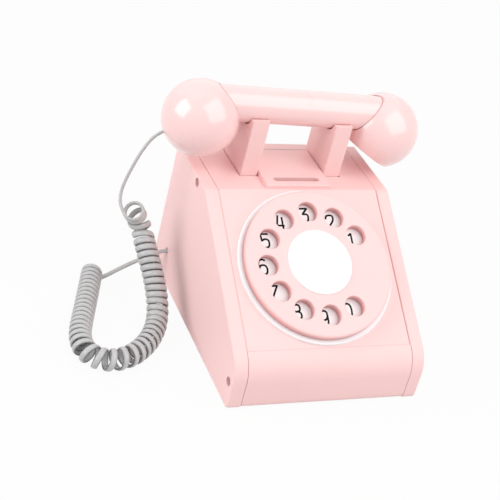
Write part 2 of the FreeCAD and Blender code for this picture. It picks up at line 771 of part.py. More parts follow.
def cord():
    """Curly cord in one piece with its two straight ends, and the strands that meet it."""
    fine = helix()
    print("least gap between curls %.2f mm" % least_gap(fine))
    ways = tangents(fine)
    half = COIL_STEPS // 2
    marks = list(range(0, len(fine) - half // 2, half))
    marks[-1] = len(fine) - 1
    start = fine[0] - ways[0] * number("coil_end_length")
    end = fine[-1] + ways[-1] * number("coil_end_length")
    edges = [Part.LineSegment(start, fine[0]).toShape()]
    for here, there in zip(marks, marks[1:]):
        edges += biarc(fine[here], ways[here], fine[there], ways[there])
    edges.append(Part.LineSegment(fine[-1], end).toShape())
    add_shape("coiled_cord", tube(edges, start, ways[0]))

    lean, out = handset_place(), ball_exit()
    hole_end = lean.multVec(cord_hole_bottom() + out * number("ferrule_length"))
    clear = lean.multVec(ball_centre(-1) + out * (number("ball_radius") + number("ball_lead")))
    before_curl = start - ways[0] * number("curl_lead")
    strand("handset_strand", [hole_end, clear] + BALL_STRAND + [before_curl, start])
    entry = Vector(-number(INNER_WIDTH) / 2, number(CORD_ENTRY[0]), number(CORD_ENTRY[1]))
    outside = entry - X_AXIS * (number("side_thickness") + number("entry_lead"))
    after_curl = end + ways[-1] * number("table_lead")
    strand("cabinet_strand", [end, after_curl] + CABINET_STRAND + [outside, entry])


def check_and_write():
    doc.recompute()
    for item in doc.Objects:
        if "Invalid" in item.State or "Error" in item.State:
            raise RuntimeError("%s failed: %s" % (item.Label, item.State))
    for node in NODES:
        if node.Shape.isNull() or not node.Shape.isValid():
            raise RuntimeError("%s has no valid shape" % node.Label)
    os.makedirs("parts", exist_ok=True)
    for node in NODES:
        node.Shape.exportStep("parts/%s.step" % node.Label)
        print("%-22s %2d solids %9.1f mm3" % (node.Label, len(node.Shape.Solids), node.Shape.Volume))


cabinet()
slot_plate()
cradle_post("left_cradle_post", -1)
cradle_post("right_cradle_post", 1)
dial()
side_screws()
handset()
cabinet_cord_anchor()
cord()
check_and_write()
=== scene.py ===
import json
import math

import bmesh
import bpy
from bpy.props import FloatProperty, FloatVectorProperty, IntProperty, PointerProperty
from mathutils import Matrix, Vector


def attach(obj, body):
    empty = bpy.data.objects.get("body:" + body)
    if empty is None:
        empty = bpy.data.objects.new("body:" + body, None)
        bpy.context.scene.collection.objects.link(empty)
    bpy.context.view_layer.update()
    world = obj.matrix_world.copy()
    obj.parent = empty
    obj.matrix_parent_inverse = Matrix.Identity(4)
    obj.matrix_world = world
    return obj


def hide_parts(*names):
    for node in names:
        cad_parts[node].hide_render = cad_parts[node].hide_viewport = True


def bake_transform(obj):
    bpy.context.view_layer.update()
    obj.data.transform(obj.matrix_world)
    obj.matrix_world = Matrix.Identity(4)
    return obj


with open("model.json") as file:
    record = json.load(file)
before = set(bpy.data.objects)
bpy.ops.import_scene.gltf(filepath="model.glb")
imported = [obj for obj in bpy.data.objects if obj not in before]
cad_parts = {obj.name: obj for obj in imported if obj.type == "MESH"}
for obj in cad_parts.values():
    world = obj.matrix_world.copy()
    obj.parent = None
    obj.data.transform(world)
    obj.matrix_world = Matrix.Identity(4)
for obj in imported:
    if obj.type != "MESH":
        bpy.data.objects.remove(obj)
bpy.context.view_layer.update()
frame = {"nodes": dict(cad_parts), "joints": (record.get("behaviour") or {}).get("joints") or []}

bl_info = {
    "name": "Painted toy telephone",
    "version": (1, 0, 0),
    "blender": (4, 5, 0),
    "location": "3D View > Sidebar > Toy phone",
    "description": "Dresses the packed wooden toy telephone: paint, digits, curly cord and studio",
    "category": "Object",
}

MM = 0.001
LEFT = Vector((-1.0, 0.0, 0.0))

# The dial on the sloped front panel, from the frame, in metres.
DIAL_TURN = next(joint for joint in frame["joints"] if joint["name"] == "dial_turn")
DIAL_FOOT = Vector(DIAL_TURN["pos_m"])
DIAL_AXIS = Vector(DIAL_TURN["axis"]).normalized()
UP_SLOPE = DIAL_AXIS.cross(LEFT)
PANEL_SLOPE = math.atan2(-DIAL_AXIS.y, DIAL_AXIS.z)
ON_PANEL = Matrix.Translation(DIAL_FOOT) @ Matrix.Rotation(PANEL_SLOPE, 4, "X")

# Middle line of the handset's bar, in millimetres, and the dark ring round the bar at each ball:
# where it starts, is at its darkest and ends, out from the bar, and how far to each side it shows.
BAR_MIDDLE, BAR_WAY, BAR_RADIUS = (0.49, 53.2, 135.74), (0.99916, 0.0, -0.0410), 11.6
RING_START, RING_CORE, RING_EDGE, RING_REACH = 0.05, 0.1, 0.75, 62.0

# Fine joints in the cabinet's paint: a place on each and the way across it, half its width at its
# darkest and where it ends, in millimetres, and the share of the paint's colour that it keeps.
FRONT_JOINT = ((0.0, -69.17, 36.65), UP_SLOPE, 0.1, 0.45, 0.84)
BACK_JOINT = ((0.0, 71.5, 93.3), (0.0, 1.0, 0.0), 0.9, 1.5, 0.6)

# Shares of the paint's red, green and blue in the handset's rings and in the painted shade at the
# foot of the dial wheel's walls, and how far under the wheel's face that shade starts, in
# millimetres.
RING_TINT, WALL_SHADE_TINT = (0.5, 0.24, 0.24), (0.68, 0.40, 0.41)
WALL_SHADE_START = 0.5

# Route of the cord, in millimetres: the axis of its curls from the first ring beside the ball
# down to the table, round in a U and back, and the two free strands.
COIL_AXIS = [
    (-100.3, 44.4, 63.0), (-96.7, 48.7, 57.6), (-93.2, 49.2, 51.5), (-90.4, 46.3, 45.7),
    (-90.0, 38.5, 41.0), (-88.0, 27.0, 33.0), (-86.2, 17.0, 24.5), (-85.5, 8.0, 15.5),
    (-87.5, -1.5, 9.5), (-92.5, -11.5, 8.0), (-101.0, -23.5, 8.0), (-114.0, -34.5, 8.0),
    (-130.0, -38.0, 8.0), (-141.0, -29.0, 8.0), (-141.5, -13.5, 8.0), (-135.2, 4.0, 8.0),
    (-127.4, 24.0, 8.0), (-121.0, 41.0, 8.0), (-115.7, 55.0, 8.0),
]
BALL_END = [
    (-77.7, 55.8, 119.2), (-89.1, 58.1, 112.6), (-96.5, 58.0, 101.0), (-102.6, 57.5, 84.0),
    (-106.2, 56.5, 71.5),
]
CABINET_END = [
    (-94.0, 56.0, 11.0), (-81.0, 57.4, 16.6), (-71.6, 58.5, 21.6), (-56.0, 58.5, 21.6),
]
# Share of the axis's length where each stretch of curls ends, with the curls in that stretch.
COIL_STRETCHES = [
    (0.02, 1.0), (0.106, 2.4), (0.2798, 9.5), (0.3798, 4.6), (0.5141, 6.0), (0.66, 5.12),
    (1.0, 18.32),
]
# How far the first and the last curl lead straight on towards the strands, in millimetres, and the
# curls at the cabinet's and at the ball's end that lie against no other.
BALL_LEAD, CABINET_LEAD = 6.6, 3.3
LOOSE_AT_CABINET, LOOSE_AT_BALL = 0.4, 1.6
# Points along each span of a spline, and the sides of the cord's section.
AXIS_POINTS, CORD_POINTS, DIGIT_POINTS = 40, 6, 6
SECTION_SIDES = 14
# Ribs that the wires raise round the cord's jacket.
JACKET_RIBS = 4

# Strokes of the printed digits, in millimetres about each digit's middle: the control points of
# each spline, with a corner where a point comes twice.
DIGITS = {
    "1": [[(-1.9, 3.2), (0.2, 4.7), (0.2, 4.7), (0.2, -4.7)]],
    "2": [[(-2.7, 2.0), (-2.7, 4.7), (2.6, 4.9), (2.6, 1.6), (0.6, -1.2), (-2.7, -4.7),
           (-2.7, -4.7), (2.7, -4.7)]],
    "3": [[(-2.7, 4.7), (2.5, 4.7), (2.5, 4.7), (-1.0, 0.8), (-1.0, 0.8), (2.6, 0.9), (2.7, -2.2),
           (1.6, -4.7), (-1.2, -4.9), (-2.8, -3.6)]],
    "4": [[(-1.2, 4.7), (-2.6, -2.3), (-2.6, -2.3), (2.6, -2.5)],
          [(1.4, 3.5), (1.4, -0.6), (1.4, -4.7)]],
    "5": [[(2.6, 4.6), (-2.5, 4.6), (-2.5, 4.6), (-2.2, 0.0), (-2.2, 0.0), (-0.3, 1.3), (2.6, 0.7),
           (2.6, -3.6), (0.2, -5.0), (-2.4, -4.2)]],
    "6": [[(2.1, 4.0), (0.2, 5.4), (-2.7, 3.8), (-2.7, -1.5), (-2.5, -4.9), (2.6, -5.2),
           (2.9, 0.9), (-2.0, 1.4), (-2.6, -1.5)]],
    "7": [[(-2.6, 4.7), (2.5, 4.7), (2.5, 4.7), (-2.5, -4.7)]],
    "8": [[(0.0, 0.2), (2.3, 0.2), (2.3, 4.8), (-2.3, 4.8), (-2.3, 0.2), (0.0, 0.2)],
          [(0.0, 0.2), (2.7, 0.2), (2.7, -4.7), (-2.7, -4.7), (-2.7, 0.2), (0.0, 0.2)]],
    "9": [[(-2.1, -4.0), (-0.2, -5.4), (2.7, -3.8), (2.7, 1.5), (2.5, 4.9), (-2.6, 5.2),
           (-2.9, -0.9), (2.0, -1.4), (2.6, 1.5)]],
    "0": [[(0.0, 4.7), (2.7, 4.7), (2.7, -4.7), (-2.7, -4.7), (-2.7, 4.7), (0.0, 4.7)]],
}

# Boards copied from the frame: points this near are one, or lie on the same end or edge, faces this
# near to flat are joined, edges this sharp stay sharp, and a rounded edge has this many faces.
MERGE, ON_END, ON_EDGE = 0.001 * MM, 0.01 * MM, 0.1 * MM
FLAT_ANGLE, SHARP_ANGLE = math.radians(1), math.radians(30)
ROUNDING_STEPS = 8

# The studio, in metres and watts: each softbox's way from the object, its power and its side.
SOFTBOXES = {
    "left_softbox": ((-0.89, 0.05, 0.45), 6.9, 0.8),
    "front_softbox": ((0.40, -0.58, 0.76), 10.4, 1.3),
    "back_softbox": ((0.05, 0.62, 0.78), 3.8, 2.0),
}
SOFTBOX_AIM, SOFTBOX_DISTANCE = (-0.01, 0.0, 0.07), 1.2
WHITE = (1.0, 1.0, 1.0, 1.0)
WORLD_FILL = 0.42
FLOOR_RADIUS, FLOOR_SIDES, FLOOR_COLOUR, FLOOR_GLOW = 6.0, 96, "#DCDCDC", 0.94

# The photograph's camera: its place and its lens in millimetres, and the ways of its axes.
CAMERA_PLACE = (-376.28, -642.39, 513.96)
CAMERA_RIGHT = (0.91715, -0.33367, 0.21794)
CAMERA_UP = (0.01259, 0.57083, 0.82097)
CAMERA_BACK = (-0.39834, -0.75021, 0.52774)
CAMERA_LENS, CAMERA_SENSOR = 97.73, 36.0

# Sockets of a Mix node that mixes colours.
MIX_SHARE, MIX_FROM, MIX_TO, MIX_RESULT = 0, 6, 7, 2


def linear(code):
    """Linear colour of an sRGB hex value."""
    shares = [int(code[start:start + 2], 16) / 255 for start in (1, 3, 5)]
    return tuple(s / 12.92 if s <= 0.04045 else ((s + 0.055) / 1.055) ** 2.4 for s in shares)


def length(name, description, millimetres):
    """Property for a length, given in millimetres and held in metres."""
    return FloatProperty(name=name, description=description, default=millimetres * MM, min=0.0,
                         unit="LENGTH", subtype="DISTANCE", precision=4)


def angle(name, description, degrees):
    """Property for an angle, given in degrees and held in radians."""
    return FloatProperty(name=name, description=description, default=math.radians(degrees),
                         unit="ROTATION", subtype="ANGLE")


def colour(name, description, code):
    """Property for a finish's colour, given as a hex value."""
    return FloatVectorProperty(name=name, description=description, default=linear(code), size=3,
                               min=0.0, max=1.0, subtype="COLOR")


class PhoneFinishes(bpy.types.PropertyGroup):
    """Colours of the finishes"""
    paint: colour("Pink paint", "Satin paint of the cabinet, the dial and the handset", "#FFD5D3")
    white: colour("White paint", "Satin paint of the number plate and the dial's centre", "#F9F8F9")
    ink: colour("Digit ink", "Printed digits on the number plate", "#0E0B09")
    jacket: colour("Cord jacket", "Matte jacket of the curly cord", "#C1C1C1")
    bare_wood: colour("Bare wood", "Unpainted dowels and block inside", "#D8B890")
    # The screw colour is thin paint over steel, made darker and browner by painted shade of the
    # recess round each sunk head.
    screw_paint_and_shade: colour("Screw paint", "Thin coat over the sunk screw heads", "#B8898A")
    steel: colour("Zinc steel", "Spindle, washer and nut", "#A9A7A2")
    nylon: colour("Nylon", "Bush under the dial and the cord's ferrule", "#E8E4DA")


class PhoneSizes(bpy.types.PropertyGroup):
    """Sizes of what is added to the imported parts"""
    nose_edge: length("Nose edge", "Rounding of the nose block's lower front edge", 5.0)
    left_push: length("Left push", "How far the boards are pushed into the left joint", 0.33)
    plate_top: length("Number plate height", "Printed face above the front panel", 2.0)
    ring_radius: length("Digit ring", "Radius of the ring of finger holes", 34.9)
    first_angle: angle("First hole", "Angle of the hole over the digit one", 31.8)
    step_angle: angle("Hole step", "Angle from one finger hole to the next", 30.0)
    digit_turn: angle("Print turn", "How far the ring of digits is turned", -2.2)
    digit_left: length("Print offset", "How far the print sits to the left of the holes", 1.7)
    digit_down: length("Print drop", "How far the print sits down the slope from the holes", 0.2)
    digit_stroke: length("Digit stroke", "Width of the printed line", 1.3)
    ink_thickness: length("Ink thickness", "Thickness of the printed ink", 0.1)
    cord_width: length("Cord width", "Flat cord across its broad side", 4.2)
    cord_thickness: length("Cord thickness", "Flat cord across its thin side", 2.1)
    coil_radius: length("Curl radius", "Radius of the curls at the middle of the cord", 6.1)
    curl_steps: IntProperty(name="Curl steps", description="Route points in one curl",
                            default=12, min=8)


def finishes():
    """The scene's colours."""
    return bpy.context.scene.phone_finishes


def sizes():
    """The scene's sizes."""
    return bpy.context.scene.phone_sizes


def add(tree, kind, inputs=None, **settings):
    """Add a shader node with its settings, and its inputs as values or other nodes' outputs."""
    node = tree.nodes.new(kind)
    for key, value in settings.items():
        setattr(node, key, value)
    for key, value in (inputs or {}).items():
        if isinstance(value, bpy.types.NodeSocket):
            tree.links.new(value, node.inputs[key])
        else:
            node.inputs[key].default_value = value
    return node


def new_material(name, **sockets):
    """Material with one surface shader, its steady values set on the shader's own sockets."""
    made = bpy.data.materials.new(name)
    made.use_nodes = True
    shader = made.node_tree.nodes["Principled BSDF"]
    for key, value in sockets.items():
        shader.inputs[key.replace("_", " ")].default_value = value
    return made, made.node_tree, shader


def scale_of(millimetres):
    """Scale of a pattern whose patches are about this many millimetres across."""
    return 1 / (millimetres * MM)


def tinted(base, shares):
    """Colour with its red, green and blue each times a share, as a node's four numbers."""
    return tuple(min(part * share, 1.0) for part, share in zip(base, shares)) + (1.0,)


def shaded(base, share):
    """Colour made darker or lighter by one share, as a node's four numbers."""
    return tinted(base, (share, share, share))


def darken(made, share, dark):
    """Mix a material's colour towards a darker one by a share between 0 and 1."""
    tree = made.node_tree
    colour_in = tree.nodes["Principled BSDF"].inputs["Base Color"]
    tone = add(tree, "ShaderNodeMix", {
        MIX_SHARE: share, MIX_FROM: colour_in.links[0].from_socket, MIX_TO: dark},
        data_type="RGBA")
    tree.links.new(tone.outputs[MIX_RESULT], colour_in)


def height_over(tree, foot, way):
    """Output that gives each point's height over a plane."""
    place = add(tree, "ShaderNodeTexCoord").outputs["Object"]
    offset = add(tree, "ShaderNodeVectorMath", {0: place, 1: foot}, operation="SUBTRACT")
    height = add(tree, "ShaderNodeVectorMath", {0: offset.outputs["Vector"], 1: way},
                 operation="DOT_PRODUCT")
    return height.outputs["Value"]


def satin_paint(name, base, roughness=0.46, **sockets):
    """Satin water-based paint, sprayed on sanded board and rubbed down between coats.

    The eye sees an even, soft colour with a broad sheen, a faint cloudiness where the film is
    thicker, a pebbled skin from the spray and hardly any grain. The pebbles are drawn coarser than
    real ones, so that they show.
    """
    made, tree, shader = new_material(name, IOR=1.48, Specular_IOR_Level=0.42, **sockets)
    place = add(tree, "ShaderNodeTexCoord").outputs["Object"]
    film = add(tree, "ShaderNodeTexNoise", {"Vector": place, "Scale": scale_of(38), "Detail": 3.0})
    tone = add(tree, "ShaderNodeMix", {
        MIX_SHARE: film.outputs["Fac"], MIX_FROM: shaded(base, 0.965), MIX_TO: shaded(base, 1.03)},
        data_type="RGBA")
    tree.links.new(tone.outputs[MIX_RESULT], shader.inputs["Base Color"])
    sheen = add(tree, "ShaderNodeMapRange", {
        "Value": film.outputs["Fac"], "From Min": 0.3, "From Max": 0.7,
        "To Min": roughness - 0.05, "To Max": roughness + 0.05})
    tree.links.new(sheen.outputs["Result"], shader.inputs["Roughness"])
    pebble = add(tree, "ShaderNodeTexNoise", {
        "Vector": place, "Scale": scale_of(1.4), "Detail": 2.0})
    skin = add(tree, "ShaderNodeBump", {
        "Height": pebble.outputs["Fac"], "Strength": 0.10, "Distance": 0.05 * MM})
    wave = add(tree, "ShaderNodeTexNoise", {"Vector": place, "Scale": scale_of(14), "Detail": 1.0})
    sanding = add(tree, "ShaderNodeBump", {
        "Height": wave.outputs["Fac"], "Strength": 0.12, "Distance": 0.4 * MM,
        "Normal": skin.outputs["Normal"]})
    tree.links.new(sanding.outputs["Normal"], shader.inputs["Normal"])
    return made


def joint_paint(name, seam, way, core, edge, share):
    """Satin paint with a fine darker joint against the next board.

    The eye sees a soft thin line where the paint has sunk between the two.
    """
    made = satin_paint(name, finishes().paint)
    tree = made.node_tree
    away = add(tree, "ShaderNodeMath", {0: height_over(tree, Vector(seam) * MM, way)},
               operation="ABSOLUTE")
    line = add(tree, "ShaderNodeMapRange", {
        "Value": away.outputs["Value"], "From Min": core * MM, "From Max": edge * MM,
        "To Min": 1.0, "To Max": 0.0})
    darken(made, line.outputs["Result"], shaded(finishes().paint, share))
    return made


def wheel_paint():
    """Satin paint of the dial's wheel, deeper on the sawn walls of its rim and finger holes.

    Painted shade: the walls are coloured darker and redder towards the foot, where shade falls in
    the holes.
    """
    made = satin_paint("satin_pink_paint_with_painted_wall_shade", finishes().paint)
    corners = frame["nodes"]["finger_wheel"].data.vertices
    heights = [(corner.co - DIAL_FOOT).dot(DIAL_AXIS) for corner in corners]
    depth = add(made.node_tree, "ShaderNodeMapRange", {
        "Value": height_over(made.node_tree, DIAL_FOOT, DIAL_AXIS),
        "From Min": max(heights) - WALL_SHADE_START * MM, "From Max": min(heights),
        "To Min": 0.0, "To Max": 1.0})
    # Painted shade: darker, redder colour down the walls of the rim and finger holes.
    darken(made, depth.outputs["Result"], tinted(finishes().paint, WALL_SHADE_TINT))
    return made


def handset_paint():
    """Semi-gloss paint of the handset, under a clear coat.

    The eye sees brighter, smaller lights than on the cabinet, and a thin dark ring where the bar
    enters each ball.
    """
    made = satin_paint("semi_gloss_pink_paint", finishes().paint, roughness=0.3,
                       Coat_Weight=1.0, Coat_IOR=1.55, Coat_Roughness=0.13)
    tree = made.node_tree
    place = add(tree, "ShaderNodeTexCoord").outputs["Object"]
    offset = add(tree, "ShaderNodeVectorMath", {0: place, 1: Vector(BAR_MIDDLE) * MM},
                 operation="SUBTRACT")
    across = add(tree, "ShaderNodeVectorMath", {0: offset.outputs["Vector"], 1: BAR_WAY},
                 operation="CROSS_PRODUCT")
    away = add(tree, "ShaderNodeVectorMath", {0: across.outputs["Vector"]}, operation="LENGTH")
    fading = add(tree, "ShaderNodeMapRange", {
        "Value": away.outputs["Value"], "From Min": (BAR_RADIUS + RING_CORE) * MM,
        "From Max": (BAR_RADIUS + RING_EDGE) * MM, "To Min": 1.0, "To Max": 0.0})
    outside = add(tree, "ShaderNodeMath", {
        0: away.outputs["Value"], 1: (BAR_RADIUS + RING_START) * MM}, operation="GREATER_THAN")
    parts = add(tree, "ShaderNodeSeparateXYZ", {"Vector": place})
    reach = add(tree, "ShaderNodeMath", {0: parts.outputs["X"]}, operation="ABSOLUTE")
    inward = add(tree, "ShaderNodeMath", {0: reach.outputs["Value"], 1: RING_REACH * MM},
                 operation="LESS_THAN")
    ring = add(tree, "ShaderNodeMath", {0: fading.outputs["Result"], 1: outside.outputs["Value"]},
               operation="MULTIPLY")
    shown = add(tree, "ShaderNodeMath", {0: ring.outputs["Value"], 1: inward.outputs["Value"]},
                operation="MULTIPLY")
    darken(made, shown.outputs["Value"], tinted(finishes().paint, RING_TINT))
    return made


def bare_wood():
    """Sanded beech: pale, dry, with short darker flecks along the grain."""
    base = finishes().bare_wood
    made, tree, shader = new_material("sanded_beech", IOR=1.5, Roughness=0.62)
    place = add(tree, "ShaderNodeTexCoord").outputs["Object"]
    stretched = add(tree, "ShaderNodeMapping", {"Vector": place, "Scale": (0.12, 1.0, 1.0)})
    grain = add(tree, "ShaderNodeTexNoise", {
        "Vector": stretched.outputs["Vector"], "Scale": scale_of(1.1), "Detail": 4.0})
    tone = add(tree, "ShaderNodeMix", {
        MIX_SHARE: grain.outputs["Fac"], MIX_FROM: shaded(base, 0.7), MIX_TO: shaded(base, 1.1)},
        data_type="RGBA")
    tree.links.new(tone.outputs[MIX_RESULT], shader.inputs["Base Color"])
    pores = add(tree, "ShaderNodeBump", {
        "Height": grain.outputs["Fac"], "Strength": 0.3, "Distance": 0.1 * MM})
    tree.links.new(pores.outputs["Normal"], shader.inputs["Normal"])
    return made


def zinc_steel():
    """Zinc-plated steel: grey, half bright, with a cloudy plated skin."""
    base = finishes().steel
    made, tree, shader = new_material("zinc_plated_steel", Metallic=1.0)
    place = add(tree, "ShaderNodeTexCoord").outputs["Object"]
    cloud = add(tree, "ShaderNodeTexNoise", {
        "Vector": place, "Scale": scale_of(2.2), "Detail": 3.0})
    tone = add(tree, "ShaderNodeMix", {
        MIX_SHARE: cloud.outputs["Fac"], MIX_FROM: shaded(base, 0.7), MIX_TO: shaded(base, 1.1)},
        data_type="RGBA")
    tree.links.new(tone.outputs[MIX_RESULT], shader.inputs["Base Color"])
    rough = add(tree, "ShaderNodeMapRange", {
        "Value": cloud.outputs["Fac"], "To Min": 0.28, "To Max": 0.5})
    tree.links.new(rough.outputs["Result"], shader.inputs["Roughness"])
    return made


def moulded_nylon():
    """Moulded nylon: milky, slightly waxy, with faint flow marks."""
    base = finishes().nylon
    made, tree, shader = new_material(
        "moulded_nylon", IOR=1.53, Roughness=0.42, Subsurface_Weight=0.1,
        Subsurface_Radius=(2.0 * MM, 2.0 * MM, 1.5 * MM))
    place = add(tree, "ShaderNodeTexCoord").outputs["Object"]
    flow = add(tree, "ShaderNodeTexNoise", {
        "Vector": place, "Scale": scale_of(3.5), "Distortion": 1.2})
    tone = add(tree, "ShaderNodeMix", {
        MIX_SHARE: flow.outputs["Fac"], MIX_FROM: shaded(base, 0.93), MIX_TO: shaded(base, 1.04)},
        data_type="RGBA")
    tree.links.new(tone.outputs[MIX_RESULT], shader.inputs["Base Color"])
    return made


def printed_ink():
    """Screen-printed black ink: dense, a little uneven, with hardly any sheen.

    The marks of the screen's mesh are drawn coarser than real ones, so that they show.
    """
    base = finishes().ink
    made, tree, shader = new_material("screen_printed_ink", IOR=1.5, Roughness=0.5,
                                      Specular_IOR_Level=0.1)
    place = add(tree, "ShaderNodeTexCoord").outputs["Object"]
    screen = add(tree, "ShaderNodeTexNoise", {
        "Vector": place, "Scale": scale_of(0.7), "Detail": 2.0})
    tone = add(tree, "ShaderNodeMix", {
        MIX_SHARE: screen.outputs["Fac"], MIX_FROM: shaded(base, 0.6), MIX_TO: shaded(base, 1.8)},
        data_type="RGBA")
    tree.links.new(tone.outputs[MIX_RESULT], shader.inputs["Base Color"])
    return made


def cord_jacket():
    """PVC jacket of a flat telephone cord, drawn out over its wires.

    The eye sees a half matte grey with low ribs and faint streaks along the cord, and painted shade
    in the grooves between the curls. The pattern follows the cord by its UV map: U runs along it in
    metres, V once round it.
    """
    base = finishes().jacket
    made, tree, shader = new_material("matte_pvc_jacket", IOR=1.52)
    along = add(tree, "ShaderNodeUVMap", uv_map="along_cord").outputs["UV"]
    parts = add(tree, "ShaderNodeSeparateXYZ", {"Vector": along})
    stretched = add(tree, "ShaderNodeMapping", {"Vector": along, "Scale": (scale_of(9), 3.0, 1.0)})
    streak = add(tree, "ShaderNodeTexNoise", {
        "Vector": stretched.outputs["Vector"], "Scale": 1.0, "Detail": 3.0})
    tone = add(tree, "ShaderNodeMix", {
        MIX_SHARE: streak.outputs["Fac"], MIX_FROM: shaded(base, 0.9), MIX_TO: shaded(base, 1.08)},
        data_type="RGBA")
    tree.links.new(tone.outputs[MIX_RESULT], shader.inputs["Base Color"])
    groove_shade = add(tree, "ShaderNodeAttribute", attribute_name="groove_shade")
    depth = add(tree, "ShaderNodeMapRange", {
        "Value": groove_shade.outputs["Fac"], "From Min": 0.35, "From Max": 0.95})
    # Painted shade where the curls lie against each other.
    darken(made, depth.outputs["Result"], shaded(base, 0.4))
    rough = add(tree, "ShaderNodeMapRange", {
        "Value": streak.outputs["Fac"], "To Min": 0.24, "To Max": 0.36})
    tree.links.new(rough.outputs["Result"], shader.inputs["Roughness"])
    wires = add(tree, "ShaderNodeMath", {0: parts.outputs["Y"], 1: 2 * math.pi * JACKET_RIBS},
                operation="MULTIPLY")
    rib = add(tree, "ShaderNodeMath", {0: wires.outputs["Value"]}, operation="COSINE")
    relief = add(tree, "ShaderNodeBump", {
        "Height": rib.outputs["Value"], "Strength": 0.25, "Distance": 0.12 * MM})
    tree.links.new(relief.outputs["Normal"], shader.inputs["Normal"])
    return made


def finish_nodes(material, *nodes):
    """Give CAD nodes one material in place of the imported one."""
    for node in nodes:
        slots = frame["nodes"][node].data.materials
        slots.clear()
        slots.append(material)


def link_piece(name, mesh, material):
    """Object at the origin for a finished mesh."""
    mesh.materials.append(material)
    piece = bpy.data.objects.new(name, mesh)
    bpy.context.scene.collection.objects.link(piece)
    return piece


def curve_mesh(strokes, resolution, **settings):
    """Mesh of a curve made of smooth splines, each given by its control points."""
    curve = bpy.data.curves.new("strokes", "CURVE")
    curve.dimensions = "3D"
    curve.resolution_u = resolution
    for key, value in settings.items():
        setattr(curve, key, value)
    for places in strokes:
        spline = curve.splines.new("NURBS")
        spline.points.add(len(places) - 1)
        for point, place in zip(spline.points, places):
            point.co = (*place, 1.0)
        spline.order_u = 3
        spline.use_endpoint_u = True
    holder = bpy.data.objects.new("strokes", curve)
    bpy.context.scene.collection.objects.link(holder)
    mesh = bpy.data.meshes.new_from_object(holder)
    bpy.data.objects.remove(holder)
    bpy.data.curves.remove(curve)
    return mesh


def spline_points(route, resolution):
    """Points along the smooth spline that has the route's points as its control points."""
    mesh = curve_mesh([route], resolution)
    points = [vertex.co.copy() for vertex in mesh.vertices]
    bpy.data.meshes.remove(mesh)
    return points


def reaches(points):
    """Length along the points up to each of them."""
    reach = [0.0]
    for before, after in zip(points, points[1:]):
        reach.append(reach[-1] + (after - before).length)
    return reach


def square_to(way, ahead):
    """Way turned square to the one ahead."""
    return (way - ahead * way.dot(ahead)).normalized()


def coil_share(turn):
    """Share of the axis's length that the given number of curls reaches."""
    start, done = 0.0, 0.0
    for end, turns in COIL_STRETCHES:
        if turn <= done + turns:
            return start + (end - start) * (turn - done) / turns
        start, done = end, done + turns
    return 1.0


def curls():
    """Control points of the curls, left-handed, and the way out from the axis at each.

    The points stand a little outside the curls, because the spline cuts inside them.
    """
    axis = spline_points([Vector(place) * MM for place in COIL_AXIS], AXIS_POINTS)
    reach = reaches(axis)
    steps = sizes().curl_steps
    radius = sizes().coil_radius / math.cos(math.pi / steps)
    count = round(sum(turns for _, turns in COIL_STRETCHES) * steps)
    out, index = LEFT, 0
    places, ways = [], []
    for step in range(count + 1):
        turn = step / steps
        wanted = coil_share(turn) * reach[-1]
        while index < len(axis) - 2 and reach[index + 1] < wanted:
            index += 1
        share = (wanted - reach[index]) / (reach[index + 1] - reach[index])
        ahead = (axis[index + 1] - axis[index]).normalized()
        out = square_to(out, ahead)
        bearing = 2 * math.pi * turn
        way = out * math.cos(bearing) + out.cross(ahead) * math.sin(bearing)
        places.append(axis[index].lerp(axis[index + 1], share) + way * radius)
        ways.append(way)
    return places, ways


def cord_route():
    """Control points from the cabinet to the handset, and on the curls the way out from the axis."""
    places, ways = curls()
    first = (places[1] - places[0]).normalized()
    last = (places[-1] - places[-2]).normalized()
    ball = [Vector(place) * MM for place in BALL_END]
    ball.append(places[0] - first * (BALL_LEAD * MM))
    cabinet = [places[-1] + last * (CABINET_LEAD * MM)]
    cabinet.extend(Vector(place) * MM for place in CABINET_END)
    route = ball + places + cabinet
    known = [None] * len(ball) + ways + [None] * len(cabinet)
    return route[::-1], known[::-1]


def thin_ways(path, known):
    """Way across the cord's thin side and way ahead at each point, and whether curls touch there.

    The thin side faces out from the axis on the curls, and keeps its turn along the strands.
    """
    end = len(path) - 1
    spans = len(known) - 2
    ahead = [(path[min(index + 1, end)] - path[max(index - 1, 0)]).normalized()
             for index in range(len(path))]
    ways = []
    # Each span of the spline runs from halfway between two control points to the next halfway.
    for index in range(len(path)):
        spot = index / end * spans + 0.5
        low = int(spot)
        before, after = known[low], known[low + 1]
        if before is None or after is None:
            ways.append(None)
        else:
            ways.append(before.lerp(after, spot - low))
    curled = [index for index, way in enumerate(ways) if way is not None]
    first, last = curled[0], curled[-1]
    curl = sizes().curl_steps / spans * len(path)
    touching = [first + LOOSE_AT_CABINET * curl < index < last - LOOSE_AT_BALL * curl
                for index in range(len(path))]
    for index in range(first - 1, -1, -1):
        ways[index] = square_to(ways[index + 1], ahead[index])
    for index in range(last + 1, len(path)):
        ways[index] = square_to(ways[index - 1], ahead[index])
    ways = [square_to(way, go) for way, go in zip(ways, ahead)]
    return ways, ahead, touching


def flat_section():
    """Oval outline of the flat cord, as offsets along its broad and its thin side."""
    broad, thin = sizes().cord_width / 2, sizes().cord_thickness / 2
    turns = [math.radians(360 * side / SECTION_SIDES) for side in range(SECTION_SIDES)]
    return [(broad * math.cos(turn), thin * math.sin(turn)) for turn in turns]


